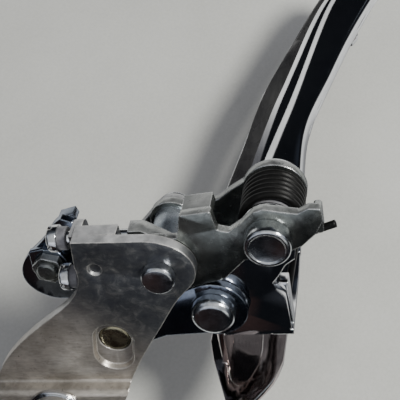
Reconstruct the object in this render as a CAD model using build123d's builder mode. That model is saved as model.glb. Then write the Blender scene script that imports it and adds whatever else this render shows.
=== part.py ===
from build123d import *
from math import acos, atan2, cos, degrees, hypot, radians, sin, sqrt
import os

os.makedirs("parts", exist_ok=True)

# Bolt-on front derailleur, millimetres.
# x forward along the pivot axes, y inboard, z up.
# The origin is the fixing bolt axis on the rear face of the mounting plate.

# ---- linkage: an exact parallelogram A-B / D-C in the y-z plane ----
link_dy, link_dz = 5.6, -19.2
ay, az = 31.05, -25.35
by, bz = ay + link_dy, az + link_dz
dy, dz = ay - 16.3, az + 11.7
cy, cz = dy + link_dy, dz + link_dz
travel = 38.0

# ---- fits ----
gap = 0.1
pin_r = 2.5
run = 0.04
open_run = 0.10
bush_r = 3.2

# ---- layers along x ----
body_face, body_back = -1.0, -3.0
ear1_front, ear1_back = -3.1, -4.7
cage1_front, cage1_back = -4.8, -6.4
ear2_front, ear2_back = -15.4, -17.0
rear_front, rear_back = -17.1, -18.7
plate2_back = -19.1
pin_end = -20.4

# ---- sheet and body ----
sheet = 2.0
jog_y = 4.5
post_y, post_z, post_r = dy - 6.2, dz + 9.0, 2.0
screw_x = -6.2
low_y, high_y = ay + 4.45, ay - 4.55
screw_r = 1.25
stop_z = az + 5.0
tab_top, tab_bottom = az + 14.9, az + 13.1

# ---- cage ----
cage_t = 1.2
in_y = 12.9
out_y = 1.4
toe_x, toe = -20.0, 0.2
tail_x, tail_z = -101.0, bz - 8.4
rivet_xs = (-9.0, -13.4)
rivet_z = bz + 8.0

# ---- spring ----
wire_r = 0.75
coil_r = 4.85
coil_front, coil_rear = -7.5, -14.4
sleeve_r = 4.0


def face_at(x):
    return Plane(origin=(x, 0, 0), x_dir=(0, 1, 0), z_dir=(1, 0, 0))


def strip(y_mid, half, front_x):
    far = -130.0
    far_y = y_mid + toe * (toe_x - far)
    return [
        (front_x, y_mid - half),
        (front_x, y_mid + half),
        (toe_x, y_mid + half),
        (far, far_y + half),
        (far, far_y - half),
        (toe_x, y_mid - half),
    ]


def tail_at(along):
    # plane square to the toed plates, offset inboard from the inner plate's middle
    n = Vector(toe, 1, 0).normalized()
    p = Vector(tail_x, in_y + toe * (toe_x - tail_x), tail_z)
    return Plane(origin=p + n * along, x_dir=(0, 0, 1), z_dir=n)


tilt = 1 / sqrt(1 + toe * toe)
half_t = cage_t / 2 * tilt
between = (in_y - out_y) * tilt

# ================= body =================

# Front plate: joggled sheet with a folded rim and a threaded stop tab.
with BuildPart() as body_bracket:
    with BuildSketch(Plane.XY):
        Polygon(
            (body_face, 60),
            (body_face, jog_y),
            (sheet, jog_y),
            (sheet, -20),
            (0, -20),
            (0, jog_y - sheet),
            (body_back, jog_y - sheet),
            (body_back, 60),
            align=None,
        )
    extrude(amount=60, both=True)
    bends = body_bracket.edges().filter_by(Axis.Z)
    outer = [
        e
        for e in bends
        if (abs(e.center().X - sheet) < 0.01 and abs(e.center().Y - jog_y) < 0.01)
        or (
            abs(e.center().X - body_back) < 0.01
            and abs(e.center().Y - jog_y + sheet) < 0.01
        )
    ]
    fillet(outer, 1.3)
    inner = [
        e
        for e in body_bracket.edges().filter_by(Axis.Z)
        if (abs(e.center().X - body_face) < 0.01 and abs(e.center().Y - jog_y) < 0.01)
        or (abs(e.center().X) < 0.01 and abs(e.center().Y - jog_y + sheet) < 0.01)
    ]
    fillet(inner, 0.6)
    with BuildSketch(face_at(-10)):
        with BuildLine():
            Polyline(
                (ay + 7.4, az + 2.0),
                (ay + 7.6, az + 14.0),
                (ay + 2.0, az + 14.6),
            )
            Spline(
                (ay + 2.0, az + 14.6),
                (ay - 3.0, az + 15.4),
                (ay - 6.1, az + 17.6),
                (ay - 10.0, az + 22.2),
                (ay - 14.7, az + 28.0),
                (ay - 19.2, az + 32.6),
                (ay - 24.5, az + 36.4),
                (ay - 32.0, az + 38.3),
            )
            Spline(
                (ay - 32.0, az + 38.3),
                (ay - 38.0, az + 36.4),
                (ay - 42.3, az + 31.0),
                (ay - 43.0, az + 24.0),
                (ay - 40.0, az + 17.5),
                (ay - 33.5, az + 13.6),
            )
            Spline(
                (ay - 33.5, az + 13.6),
                (ay - 26.8, az + 10.6),
                (ay - 17.0, az + 5.0),
                (ay - 10.8, az + 1.0),
                (ay - 6.2, az - 2.0),
                (ay - 4.0, az - 3.9),
                (ay - 2.2, az - 5.5),
                (ay - 0.2, az - 6.3),
                (ay + 2.2, az - 6.2),
                (ay + 4.5, az - 5.0),
                (ay + 6.2, az - 2.8),
                (ay + 7.1, az - 0.4),
                (ay + 7.4, az + 2.0),
            )
        make_face()
    extrude(amount=30, mode=Mode.INTERSECT)
    # rim folded back along the inboard edge
    with BuildSketch(face_at(body_back)):
        with Locations((ay + 6.7, az + 10.3)):
            Rectangle(1.8, 7.6)
    extrude(amount=-2.6)
    # tab that carries the two limit screws
    with BuildSketch(Plane.XY.offset(tab_bottom)):
        with Locations((body_back - 2.9, ay + 0.3)):
            Rectangle(5.8, 14.2)
    extrude(amount=tab_top - tab_bottom)
    tab_edges = [
        e
        for e in body_bracket.edges().filter_by(Axis.Z)
        if abs(e.center().X - body_back + 5.8) < 0.05
    ]
    fillet(tab_edges, 1.8)
    # drawn recess round the head of pin D
    with BuildSketch(face_at(body_face)):
        with Locations((dy - 1.3, dz + 0.3)):
            SlotOverall(11.6, 7.6, rotation=-10)
    extrude(amount=-1.0, taper=22, mode=Mode.SUBTRACT)
    # pivot holes, socket, bolt hole, screw holes
    with BuildSketch(face_at(5)):
        with Locations((ay, az)):
            Circle(pin_r)
        with Locations((dy, dz)):
            Circle(3.05)
        with Locations((0, 0)):
            Circle(2.75)
    extrude(amount=-10, mode=Mode.SUBTRACT)
    with BuildSketch(Plane.XY.offset(tab_top + 1)):
        with Locations((screw_x, low_y), (screw_x, high_y)):
            Circle(screw_r + 0.05)
    extrude(amount=-4, mode=Mode.SUBTRACT)
    # locating dimple pressed into the face
    with BuildSketch(face_at(body_face)):
        with Locations((ay + 1.5, az + 11.1)):
            Circle(1.3)
    extrude(amount=-0.45, taper=30, mode=Mode.SUBTRACT)
body_bracket.part.label = "body_bracket"
export_step(body_bracket.part, "parts/body_bracket.step")

# Rear plate: holds the far ends of both body pins and the post.
with BuildPart() as body_rear_plate:
    with BuildSketch(face_at(rear_front)) as rear:
        with Locations((ay, az)):
            Circle(3.4)
        with Locations((dy, dz)):
            Circle(4.7)
        with Locations((post_y, post_z)):
            Circle(3.6)
        make_hull()
        with Locations((ay, az), (dy, dz)):
            Circle(pin_r, mode=Mode.SUBTRACT)
        with Locations((post_y, post_z)):
            Circle(post_r - 0.4, mode=Mode.SUBTRACT)
    extrude(amount=plate2_back - rear_front)
body_rear_plate.part.label = "body_rear_plate"
export_step(body_rear_plate.part, "parts/body_rear_plate.step")

# Post welded to the back of the front plate and riveted to the rear plate.
with BuildPart() as body_post:
    with BuildSketch(face_at(body_back)):
        with Locations((post_y, post_z)):
            Circle(post_r + 0.8)
    extrude(amount=rear_front - body_back)
    with BuildSketch(face_at(rear_front)):
        with Locations((post_y, post_z)):
            Circle(post_r - 0.4)
    extrude(amount=plate2_back - rear_front)
    with BuildSketch(face_at(plate2_back)):
        with Locations((post_y, post_z)):
            Circle(post_r + 0.6)
    extrude(amount=-0.9)
body_post.part.label = "body_post"
export_step(body_post.part, "parts/body_post.step")

# Inboard body pin A: flat low head in front, peened at the rear.
with BuildPart() as inner_body_pin:
    with BuildSketch(face_at(1.0)):
        with Locations((ay, az)):
            Circle(2.95)
    extrude(amount=body_face - 1.0)
    chamfer(inner_body_pin.edges().group_by(Axis.X)[-1], 0.35)
    with BuildSketch(face_at(body_face)):
        with Locations((ay, az)):
            Circle(pin_r)
    extrude(amount=pin_end - body_face)
    chamfer(inner_body_pin.edges().group_by(Axis.X)[0], 0.5)
inner_body_pin.part.label = "inner_body_pin"
export_step(inner_body_pin.part, "parts/inner_body_pin.step")

# Outboard body pin D: domed head sunk in the socket of the front plate.
with BuildPart() as outer_body_pin:
    with BuildSketch(face_at(-2.0)):
        with Locations((dy, dz)):
            Circle(3.05)
    extrude(amount=body_back + 2.0)
    fillet(outer_body_pin.edges().group_by(Axis.X)[-1], 0.7)
    with BuildSketch(face_at(body_back)):
        with Locations((dy, dz)):
            Circle(pin_r)
    extrude(amount=pin_end - body_back)
    chamfer(outer_body_pin.edges().group_by(Axis.X)[0], 0.5)
outer_body_pin.part.label = "outer_body_pin"
export_step(outer_body_pin.part, "parts/outer_body_pin.step")

# Retaining washers staked on the rear ends of the two body pins.
with BuildPart() as inner_body_washer:
    with BuildSketch(face_at(plate2_back)):
        with Locations((ay, az)):
            Circle(3.0)
            Circle(pin_r, mode=Mode.SUBTRACT)
    extrude(amount=-0.8)
inner_body_washer.part.label = "inner_body_washer"
export_step(inner_body_washer.part, "parts/inner_body_washer.step")

with BuildPart() as outer_body_washer:
    with BuildSketch(face_at(plate2_back)):
        with Locations((dy, dz)):
            Circle(3.7)
            Circle(pin_r, mode=Mode.SUBTRACT)
    extrude(amount=-0.8)
outer_body_washer.part.label = "outer_body_washer"
export_step(outer_body_washer.part, "parts/outer_body_washer.step")

# Fixing bolt: round socket head in front, plain shoulder, threaded shank to the rear.
head_r, head_h = 5.1, 5.0
shank_r, shank_l = 2.5, 14.0
shoulder_r, shoulder_l = 2.6, 3.2
with BuildPart() as fixing_bolt:
    with BuildSketch(face_at(sheet + 0.9)):
        Circle(head_r)
    extrude(amount=head_h)
    chamfer(fixing_bolt.edges().group_by(Axis.X)[-1], 0.5)
    with BuildSketch(face_at(sheet + 0.9 + head_h)):
        RegularPolygon(2.3, 6)
    extrude(amount=-3.0, mode=Mode.SUBTRACT)
    with BuildSketch(face_at(sheet + 0.9)):
        Circle(shoulder_r)
    extrude(amount=-(sheet + 0.9 + shoulder_l))
    with BuildSketch(face_at(-shoulder_l)):
        Circle(shank_r)
    extrude(amount=-(shank_l - shoulder_l))
    chamfer(fixing_bolt.edges().group_by(Axis.X)[0], 0.6)
fixing_bolt.part.label = "fixing_bolt"
export_step(fixing_bolt.part, "parts/fixing_bolt.step")

with BuildPart() as fixing_washer:
    with BuildSketch(face_at(sheet)):
        Circle(5.5)
        Circle(shoulder_r + 0.1, mode=Mode.SUBTRACT)
    extrude(amount=0.9)
    fillet(fixing_washer.edges().group_by(Axis.X)[-1], 0.25)
fixing_washer.part.label = "fixing_washer"
export_step(fixing_washer.part, "parts/fixing_washer.step")

# ================= inner link =================

# The high flat of the cam is square to its screw once the link has turned by the travel.
cam_flat = 5.0
swing = radians(travel)
high_flat = [
    (y * cos(swing) - cam_flat * sin(swing), y * sin(swing) + cam_flat * cos(swing))
    for y in (-7.0, -2.2)
]

# U-shaped inner link with stop cam, folded tab and spring lug.
with BuildPart() as inner_link:
    # front ear
    with BuildSketch(face_at(ear1_front)) as ear:
        with Locations((by, bz)):
            Polygon(
                (-4.2, 20.0),
                (0.3, 17.5),
                (0.4, 15.3),
                (5.2, 14.2),
                (5.8, 8.9),
                (1.9, 8.4),
                (1.3, 6.5),
                (2.9, 4.3),
                (5.2, 2.0),
                (5.8, 0.3),
                (5.0, -3.2),
                (4.6, -5.2),
                (5.6, -7.0),
                (5.4, -9.0),
                (2.8, -9.0),
                (0.3, -7.7),
                (-2.2, -5.2),
                (-4.0, -1.5),
                (-4.8, 4.6),
                (-8.9, 8.6),
                (-11.2, 16.8),
                (-9.5, 20.5),
                align=None,
            )
        fillet(ear.vertices(), 0.55)
        with Locations((ay, az)):
            Circle(6.0)
        with Locations((by, bz)):
            Circle(4.4)
    extrude(amount=ear1_back - ear1_front)
    # rear ear, waisted on its inboard side
    with BuildSketch(face_at(ear2_front)):
        with Locations((by, bz)):
            Polygon(
                (4.9, -0.5),
                (4.3, 1.6),
                (3.2, 3.6),
                (1.9, 5.6),
                (0.5, 7.8),
                (-1.2, 10.0),
                (-2.4, 12.6),
                (-2.4, 16.2),
                (-5.6, 19.2),
                (-10.3, 18.4),
                (-10.7, 16.0),
                (-10.1, 13.4),
                (-7.4, 6.0),
                (-5.4, -0.5),
                align=None,
            )
        with Locations((ay, az)):
            Circle(4.1)
        with Locations((by, bz)):
            Circle(5.6)
    extrude(amount=ear2_back - ear2_front)
    # web between the ears on the outboard side
    with BuildSketch(face_at(ear1_back)):
        with Locations((ay, az)):
            Polygon(
                (-5.2, -1.5),
                (-4.5, -5.6),
                (-2.9, -5.3),
                (-3.4, -1.0),
                align=None,
            )
    extrude(amount=ear2_front - ear1_back)
    # stop cam: two flats that meet the limit screws
    with BuildSketch(face_at(ear1_back)):
        with Locations((ay, az)):
            Polygon(
                (1.2, cam_flat),
                (6.6, cam_flat),
                (6.6, 2.6),
                (2.0, -4.0),
                (-4.4, -4.0),
                high_flat[0],
                high_flat[1],
                (0.0, 4.0),
                align=None,
            )
    extrude(amount=-3.0)
    # folded tab on the inboard edge
    with BuildSketch(face_at(ear1_back)):
        with Locations((by + 4.6, bz + 11.5)):
            Rectangle(1.7, 5.0, rotation=6)
    extrude(amount=-3.9)
    # spring lug folded behind the cage ear
    with BuildSketch(face_at(ear1_back)):
        with Locations((by + 1.8, bz - 8.2)):
            RectangleRounded(5.2, 1.4, 0.6)
    extrude(amount=-2.2)
    # bores
    with BuildSketch(face_at(0)):
        with Locations((ay, az)):
            Circle(bush_r)
        with Locations((by, bz)):
            Circle(pin_r + run)
    extrude(amount=-20, mode=Mode.SUBTRACT)
inner_link.part.label = "inner_link"
export_step(inner_link.part, "parts/inner_link.step")

with BuildPart() as inner_link_bush:
    with BuildSketch(face_at(ear1_front)):
        with Locations((ay, az)):
            Circle(bush_r)
            Circle(pin_r + run, mode=Mode.SUBTRACT)
    extrude(amount=ear2_back - ear1_front)
inner_link_bush.part.label = "inner_link_bush"
export_step(inner_link_bush.part, "parts/inner_link_bush.step")

# ================= outer link =================

# Outer link: two ears, barrel around D, outboard web and the cable arm.
arm_front, arm_back = -13.0, -14.6
anchor_y, anchor_z = dy + 9.6, dz + 12.5
arm_curve = [
    (-3.6, 1.6),
    (-1.3, 7.0),
    (-0.2, 11.0),
    (0.0, 13.8),
    (1.1, 16.4),
    (3.1, 18.4),
    (5.2, 19.2),
    (7.5, 19.0),
    (9.8, 17.9),
    (12.2, 15.6),
    (15.2, 12.4),
    (18.2, 10.0),
    (19.5, 8.2),
]
arm_base = [(19.5, 8.2), (18.6, 6.2), (3.4, 1.2), (-3.6, 1.6)]
with BuildPart() as outer_link:
    # front ear
    with BuildSketch(face_at(ear1_front)):
        with Locations((dy, dz)):
            Circle(4.6)
        with Locations((cy, cz)):
            Circle(6.0)
        with Locations((dy, dz)):
            Polygon(
                (3.0, 2.6),
                (11.0, -16.5),
                (0.2, -21.0),
                (-0.6, -9.5),
                (-3.6, -2.0),
                align=None,
            )
    extrude(amount=ear1_back - ear1_front)
    # rear ear
    with BuildSketch(face_at(ear2_front)):
        with Locations((dy, dz)):
            Circle(4.6)
        with Locations((cy, cz)):
            Circle(5.6)
        make_hull()
    extrude(amount=ear2_back - ear2_front)
    # barrel
    with BuildSketch(face_at(ear1_back)):
        with Locations((dy, dz)):
            Circle(4.3)
    extrude(amount=ear2_front - ear1_back)
    # web
    with BuildSketch(face_at(ear1_back)):
        with Locations((dy, dz)):
            Polygon(
                (-3.9, -1.0),
                (-1.2, -11.4),
                (0.4, -11.0),
                (-2.0, -2.0),
                align=None,
            )
    extrude(amount=ear2_front - ear1_back)
    # cable arm
    with BuildSketch(face_at(arm_front)):
        with BuildLine():
            Spline(*[(dy + y, dz + z) for y, z in arm_curve])
            Polyline(*[(dy + y, dz + z) for y, z in arm_base])
        make_face()
    extrude(amount=arm_back - arm_front)
    # lip folded back along the inboard end of the arm
    with BuildSketch(face_at(arm_back)):
        with Locations((dy + 18.3, dz + 7.6)):
            Rectangle(1.5, 3.2, rotation=15)
    extrude(amount=-2.3)
    # bores: journal at D, pin at C, anchor bolt
    with BuildSketch(face_at(0)):
        with Locations((dy, dz)):
            Circle(bush_r)
        with Locations((cy, cz)):
            Circle(pin_r + open_run)
        with Locations((anchor_y, anchor_z)):
            Circle(2.0)
    extrude(amount=-20, mode=Mode.SUBTRACT)
outer_link.part.label = "outer_link"
export_step(outer_link.part, "parts/outer_link.step")

with BuildPart() as outer_link_bush:
    with BuildSketch(face_at(ear1_front)):
        with Locations((dy, dz)):
            Circle(bush_r)
            Circle(pin_r + run, mode=Mode.SUBTRACT)
    extrude(amount=ear2_back - ear1_front)
outer_link_bush.part.label = "outer_link_bush"
export_step(outer_link_bush.part, "parts/outer_link_bush.step")

# Cable anchor: grooved clamp washer, nut and bolt.
with BuildPart() as anchor_washer:
    with BuildSketch(face_at(arm_front)) as clamp:
        with Locations((anchor_y, anchor_z)):
            Circle(3.6)
            Polygon((0, 0), (3.9, 0.4), (3.2, 3.4), (0.4, 3.6), align=None)
            Circle(2.0, mode=Mode.SUBTRACT)
    extrude(amount=1.1)
anchor_washer.part.label = "anchor_washer"
export_step(anchor_washer.part, "parts/anchor_washer.step")

with BuildPart() as anchor_nut:
    with BuildSketch(face_at(arm_front + 1.1)):
        with Locations((anchor_y, anchor_z)):
            RegularPolygon(3.1, 6, rotation=12)
            Circle(2.0, mode=Mode.SUBTRACT)
    extrude(amount=1.7)
anchor_nut.part.label = "anchor_nut"
export_step(anchor_nut.part, "parts/anchor_nut.step")

with BuildPart() as anchor_bolt:
    with BuildSketch(face_at(arm_back)):
        with Locations((anchor_y, anchor_z)):
            RegularPolygon(3.4, 6)
    extrude(amount=-2.2)
    with BuildSketch(face_at(arm_back)):
        with Locations((anchor_y, anchor_z)):
            Circle(2.0)
    extrude(amount=5.2)
    fillet(anchor_bolt.edges().group_by(Axis.X)[-1], 0.5)
anchor_bolt.part.label = "anchor_bolt"
export_step(anchor_bolt.part, "parts/anchor_bolt.step")

# ================= limit screws =================

# Low screw: tip meets the cam at rest.
with BuildPart() as low_limit_screw:
    with BuildSketch(Plane.XY.offset(stop_z + 0.05)):
        with Locations((screw_x, low_y)):
            Circle(screw_r)
    extrude(amount=az + 18.2 - stop_z - 0.05)
    chamfer(low_limit_screw.edges().group_by(Axis.Z)[0], 0.25)
    with BuildSketch(Plane.XY.offset(az + 17.9)):
        with Locations((screw_x, low_y)):
            Circle(2.45)
    extrude(amount=1.9)
    fillet(low_limit_screw.edges().group_by(Axis.Z)[-1], 0.6)
    with BuildSketch(Plane.XY.offset(az + 19.8)):
        with Locations((screw_x, low_y)):
            Rectangle(5.4, 0.7)
            Rectangle(0.7, 5.4)
    extrude(amount=-0.9, mode=Mode.SUBTRACT)
low_limit_screw.part.label = "low_limit_screw"
export_step(low_limit_screw.part, "parts/low_limit_screw.step")

# High screw: the cam meets its tip at full travel.
with BuildPart() as high_limit_screw:
    with BuildSketch(Plane.XY.offset(stop_z + 0.05)):
        with Locations((screw_x, high_y)):
            Circle(screw_r)
    extrude(amount=az + 18.2 - stop_z - 0.05)
    chamfer(high_limit_screw.edges().group_by(Axis.Z)[0], 0.25)
    with BuildSketch(Plane.XY.offset(az + 17.9)):
        with Locations((screw_x, high_y)):
            Circle(2.45)
    extrude(amount=1.9)
    fillet(high_limit_screw.edges().group_by(Axis.Z)[-1], 0.6)
    with BuildSketch(Plane.XY.offset(az + 19.8)):
        with Locations((screw_x, high_y)):
            Rectangle(5.4, 0.7)
            Rectangle(0.7, 5.4)
    extrude(amount=-0.9, mode=Mode.SUBTRACT)
high_limit_screw.part.label = "high_limit_screw"
export_step(high_limit_screw.part, "parts/high_limit_screw.step")

# Collars under the screw heads.
with BuildPart() as low_screw_collar:
    with BuildSketch(Plane.XY.offset(az + 16.3)):
        with Locations((screw_x, low_y)):
            Circle(2.1)
            Circle(screw_r, mode=Mode.SUBTRACT)
    extrude(amount=1.6)
    fillet(low_screw_collar.edges().group_by(Axis.Z)[0], 0.3)
low_screw_collar.part.label = "low_screw_collar"
export_step(low_screw_collar.part, "parts/low_screw_collar.step")

with BuildPart() as high_screw_collar:
    with BuildSketch(Plane.XY.offset(az + 16.3)):
        with Locations((screw_x, high_y)):
            Circle(2.1)
            Circle(screw_r, mode=Mode.SUBTRACT)
    extrude(amount=1.6)
    fillet(high_screw_collar.edges().group_by(Axis.Z)[0], 0.3)
high_screw_collar.part.label = "high_screw_collar"
export_step(high_screw_collar.part, "parts/high_screw_collar.step")

# ================= cage =================

# Inner plate: toed sheet cut to the outline, two ears and a long tail.
ear_panel = [
    (-2.0, -4.2),
    (-6.4, -3.5),
    (-7.7, -1.8),
    (-10.2, -0.3),
    (-11.8, 0.9),
    (-13.6, 0.2),
    (-15.1, -0.9),
    (-22.6, -1.2),
    (-23.8, -0.6),
    (-24.3, 0.6),
    (-24.3, 11.2),
    (-17.0, 12.0),
    (-8.0, 8.0),
    (0.0, 0.0),
]
rear_panel = [
    (0.0, 0.0),
    (-7.0, 2.6),
    (-22.5, 2.6),
    (-24.3, 3.4),
    (-24.3, 11.2),
    (-17.0, 12.0),
    (-8.0, 8.0),
]
with BuildPart() as cage_inner_plate:
    with BuildSketch(Plane.XY):
        Polygon(*strip(in_y, cage_t / 2, cage1_front), align=None)
    extrude(amount=80, both=True)
    with BuildSketch(Plane.XZ) as tail:
        with Locations((0, bz)):
            Polygon(
                (cage1_front, -1.4),
                (cage1_front, 11.3),
                (-19.5, 11.0),
                (-25.0, 14.6),
                (-41.0, 14.5),
                (-51.0, 12.2),
                (-68.0, 8.6),
                (-83.0, 3.2),
                (-99.0, -3.0),
                (-106.0, -7.0),
                (-109.0, -11.0),
                (-109.0, -17.0),
                (-106.0, -20.0),
                (-102.0, -18.6),
                (-97.0, -15.9),
                (-84.0, -10.7),
                (-71.0, -6.4),
                (-60.0, -2.9),
                (-53.0, -1.6),
                (-44.0, -1.4),
                align=None,
            )
        fillet([v for v in tail.vertices() if v.X < -5.0], 1.6)
    extrude(amount=-80, mode=Mode.INTERSECT)
    # front ear, with a small notch above its straight edge
    with BuildSketch(face_at(cage1_front)):
        with Locations((by, bz)):
            Circle(4.7)
        with Locations((cy, cz)):
            Circle(5.0)
        make_hull()
        with Locations((by, bz)):
            Polygon(*ear_panel, align=None)
    extrude(amount=cage1_back - cage1_front)
    # rear ear, set back from the lower edge
    with BuildSketch(face_at(rear_front)):
        with Locations((by, bz)):
            Circle(4.5)
        with Locations((cy, cz)):
            Circle(5.0)
        make_hull()
        with Locations((by, bz)):
            Polygon(*rear_panel, align=None)
    extrude(amount=rear_back - rear_front)
    # fold along the lower edge that stiffens the front ear
    with BuildSketch(Plane.XZ.offset(-(in_y))):
        with Locations((cage1_back - 1.3, bz - 0.6)):
            Rectangle(2.6, 1.6)
    extrude(amount=-10.5)
    # pin holes
    with BuildSketch(face_at(0)):
        with Locations((by, bz), (cy, cz)):
            Circle(pin_r)
    extrude(amount=-20, mode=Mode.SUBTRACT)
    # rivet holes through the plate
    with BuildSketch(Plane.XZ.offset(-20)):
        with Locations((rivet_xs[0], rivet_z), (rivet_xs[1], rivet_z)):
            Circle(1.2)
    extrude(amount=12, mode=Mode.SUBTRACT)
    # tail screw hole, square to the plate
    with BuildSketch(tail_at(5)):
        Circle(1.5)
    extrude(amount=-10, mode=Mode.SUBTRACT)
cage_inner_plate.part.label = "cage_inner_plate"
export_step(cage_inner_plate.part, "parts/cage_inner_plate.step")


# Outer plate: toed sheet, recessed nose, top bridge and riveted lap.
with BuildPart() as cage_outer_plate:
    with BuildSketch(Plane.XY):
        Polygon(*strip(out_y, cage_t / 2, 30), align=None)
    extrude(amount=80, both=True)
    with BuildSketch(Plane.XZ) as nose:
        with Locations((0, bz)):
            Polygon(
                (4.8, 8.6),
                (3.4, 7.4),
                (1.6, 6.4),
                (-0.3, 5.1),
                (-2.7, 3.6),
                (-5.1, 2.7),
                (-8.1, 2.0),
                (-15.9, 1.8),
                (-22.0, 2.9),
                (-30.0, 4.6),
                (-44.0, 5.4),
                (-60.0, 3.4),
                (-71.0, 0.8),
                (-77.0, -1.0),
                (-84.0, -3.4),
                (-90.0, -5.4),
                (-97.0, -8.2),
                (-101.0, -11.0),
                (-105.5, -11.0),
                (-107.0, -8.4),
                (-105.5, -5.6),
                (-99.0, -3.0),
                (-92.0, 0.0),
                (-83.0, 3.0),
                (-68.0, 7.4),
                (-51.0, 11.0),
                (-35.0, 13.0),
                (-22.0, 14.4),
                (-15.6, 16.6),
                (-13.0, 16.6),
                (-8.3, 15.4),
                (1.6, 11.9),
                (4.4, 10.8),
                align=None,
            )
    extrude(amount=-80, mode=Mode.INTERSECT)
    # recessed field inside the raised lower rim
    with BuildSketch(Plane.XZ.offset(-(out_y + cage_t / 2))) as field:
        with Locations((0, bz)):
            Polygon(
                (-18.5, 6.6),
                (-10.7, 6.2),
                (-6.9, 6.6),
                (-3.7, 7.8),
                (-1.4, 9.6),
                (-3.4, 11.4),
                (-8.5, 13.2),
                (-18.5, 12.6),
                align=None,
            )
        fillet(field.vertices(), 0.8)
    extrude(amount=0.8, mode=Mode.SUBTRACT)
    with BuildSketch(Plane.XZ.offset(-(out_y - cage_t / 2))) as pan:
        with Locations((0, bz)):
            Polygon(
                (-19.1, 6.0),
                (-10.7, 5.6),
                (-6.7, 6.0),
                (-3.3, 7.3),
                (-0.6, 9.6),
                (-3.1, 12.0),
                (-8.4, 13.8),
                (-19.1, 13.2),
                align=None,
            )
        fillet(pan.vertices(), 0.8)
    extrude(amount=0.7)
    # bridge over the chain, with a lap behind the inner plate
    with BuildSketch(Plane.XY.offset(bz + 12.2)):
        with Locations((-11.2, (out_y + in_y) / 2 - 0.3)):
            Rectangle(7.4, in_y - out_y + 0.6 - cage_t)
    extrude(amount=1.2)
    with BuildSketch(Plane.XZ.offset(-(in_y - cage_t / 2))):
        with Locations((-11.2, bz + 9.4)):
            Rectangle(7.4, 8.0)
    extrude(amount=1.2)
    with BuildSketch(Plane.XZ.offset(-20)):
        with Locations((rivet_xs[0], rivet_z), (rivet_xs[1], rivet_z)):
            Circle(1.2)
    extrude(amount=12, mode=Mode.SUBTRACT)
    with BuildSketch(tail_at(5)):
        Circle(1.5)
    extrude(amount=-25, mode=Mode.SUBTRACT)
cage_outer_plate.part.label = "cage_outer_plate"
export_step(cage_outer_plate.part, "parts/cage_outer_plate.step")

# Rivets that close the lap.
with BuildPart() as front_rivet:
    with BuildSketch(Plane.XZ.offset(-(in_y + cage_t / 2))):
        with Locations((rivet_xs[0], rivet_z)):
            Circle(2.0)
    extrude(amount=-0.8)
    fillet(front_rivet.edges().group_by(Axis.Y)[-1], 0.5)
    with BuildSketch(Plane.XZ.offset(-(in_y + cage_t / 2))):
        with Locations((rivet_xs[0], rivet_z)):
            Circle(1.2)
    extrude(amount=cage_t + 1.2)
    with BuildSketch(Plane.XZ.offset(-(in_y - cage_t / 2 - 1.2))):
        with Locations((rivet_xs[0], rivet_z)):
            Circle(1.9)
    extrude(amount=0.7)
front_rivet.part.label = "front_rivet"
export_step(front_rivet.part, "parts/front_rivet.step")

with BuildPart() as rear_rivet:
    with BuildSketch(Plane.XZ.offset(-(in_y + cage_t / 2))):
        with Locations((rivet_xs[1], rivet_z)):
            Circle(2.0)
    extrude(amount=-0.8)
    fillet(rear_rivet.edges().group_by(Axis.Y)[-1], 0.5)
    with BuildSketch(Plane.XZ.offset(-(in_y + cage_t / 2))):
        with Locations((rivet_xs[1], rivet_z)):
            Circle(1.2)
    extrude(amount=cage_t + 1.2)
    with BuildSketch(Plane.XZ.offset(-(in_y - cage_t / 2 - 1.2))):
        with Locations((rivet_xs[1], rivet_z)):
            Circle(1.9)
    extrude(amount=0.7)
rear_rivet.part.label = "rear_rivet"
export_step(rear_rivet.part, "parts/rear_rivet.step")

# Tail spacer, screw and nut, square to the toed plates.
with BuildPart() as tail_spacer:
    with BuildSketch(tail_at(-half_t)):
        Circle(2.8)
        Circle(1.55, mode=Mode.SUBTRACT)
    extrude(amount=-(between - 2 * half_t))
tail_spacer.part.label = "tail_spacer"
export_step(tail_spacer.part, "parts/tail_spacer.step")

with BuildPart() as tail_screw:
    with BuildSketch(tail_at(half_t)):
        Circle(2.7)
    extrude(amount=1.7)
    with BuildSketch(tail_at(half_t + 1.7)):
        Rectangle(6.0, 0.8)
    extrude(amount=-0.8, mode=Mode.SUBTRACT)
    with BuildSketch(tail_at(half_t)):
        Circle(1.5)
    extrude(amount=-(between + 2 * half_t + 2.8))
tail_screw.part.label = "tail_screw"
export_step(tail_screw.part, "parts/tail_screw.step")

with BuildPart() as tail_nut:
    with BuildSketch(tail_at(-between - half_t)):
        RegularPolygon(3.0, 6)
        Circle(1.5, mode=Mode.SUBTRACT)
    extrude(amount=-2.2)
tail_nut.part.label = "tail_nut"
export_step(tail_nut.part, "parts/tail_nut.step")

# Upper cage pin B: thick flat head with a shallow dish.
with BuildPart() as upper_cage_pin:
    with BuildSketch(face_at(0)):
        with Locations((by, bz)):
            Circle(3.9)
    extrude(amount=-3.05)
    fillet(upper_cage_pin.edges().group_by(Axis.X)[-1], 0.5)
    with BuildSketch(face_at(0)):
        with Locations((by, bz)):
            Circle(3.0)
    extrude(amount=-0.15, mode=Mode.SUBTRACT)
    with BuildSketch(face_at(-3.0)):
        with Locations((by, bz)):
            Circle(pin_r)
    extrude(amount=pin_end + 3.0)
    chamfer(upper_cage_pin.edges().group_by(Axis.X)[0], 0.5)
upper_cage_pin.part.label = "upper_cage_pin"
export_step(upper_cage_pin.part, "parts/upper_cage_pin.step")

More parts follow.
